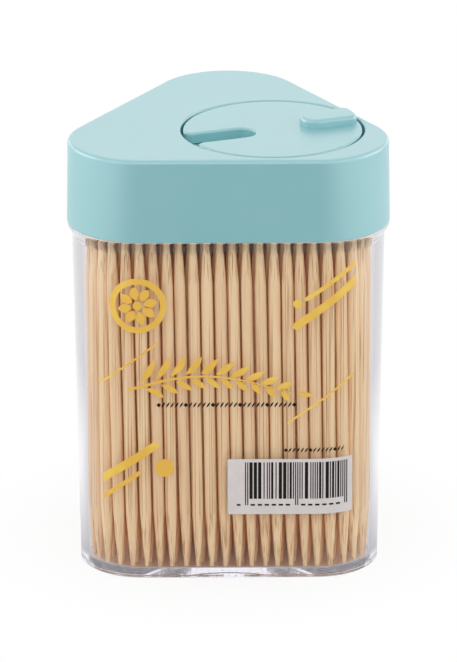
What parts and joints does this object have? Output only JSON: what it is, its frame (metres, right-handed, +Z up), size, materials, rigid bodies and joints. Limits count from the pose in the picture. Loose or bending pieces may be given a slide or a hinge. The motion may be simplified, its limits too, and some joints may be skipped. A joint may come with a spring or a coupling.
{
  "type": "toothpick dispenser",
  "caption": "Clear canister with a rounded-triangle plan, full of double-pointed toothpicks, under a deep push-on lid with a turning, notched dial.",
  "frame": {"origin": "on the ground under the middle of the plan's bounding box", "axes": "+Z up, through the lid; the flat front with the label faces -Y; the dial is towards +X"},
  "size_m": [0.058, 0.0538, 0.0818],
  "materials": {
    "clear_plastic": "clear moulded polystyrene, polished",
    "mint_plastic": "opaque moulded polypropylene, fine satin",
    "white_label": "white paper sticker with dark bars",
    "bamboo": "bare turned bamboo, fine lengthwise fibre"
  },
  "bodies": {
    "canister": {"canister": "clear_plastic", "label": "white_label", "toothpick_centre": "bamboo", "toothpicks_front_1": "bamboo", "toothpicks_front_2": "bamboo", "toothpicks_front_3": "bamboo", "toothpicks_front_4": "bamboo", "toothpicks_front_5": "bamboo", "toothpicks_front_6": "bamboo", "toothpicks_front_7": "bamboo", "toothpicks_front_8": "bamboo", "toothpicks_left_1": "bamboo", "toothpicks_left_2": "bamboo", "toothpicks_left_3": "bamboo", "toothpicks_left_4": "bamboo", "toothpicks_left_5": "bamboo", "toothpicks_left_6": "bamboo", "toothpicks_left_7": "bamboo", "toothpicks_left_8": "bamboo", "toothpicks_right_1": "bamboo", "toothpicks_right_2": "bamboo", "toothpicks_right_3": "bamboo", "toothpicks_right_4": "bamboo", "toothpicks_right_5": "bamboo", "toothpicks_right_6": "bamboo", "toothpicks_right_7": "bamboo", "toothpicks_right_8": "bamboo"},
    "lid": {"lid": "mint_plastic"},
    "dial": {"dial": "mint_plastic"}
  },
  "joints": [
    {"name": "lid_lift", "type": "slide", "parent": "canister", "child": "lid", "axis": [0, 0, 1], "range_m": [0, 0.03]},
    {"name": "dial_turn", "type": "hinge", "parent": "lid", "child": "dial", "pos_m": [0.00798, -0.0085, 0.0802], "axis": [0, 0, 1], "continuous": true}
  ]
}
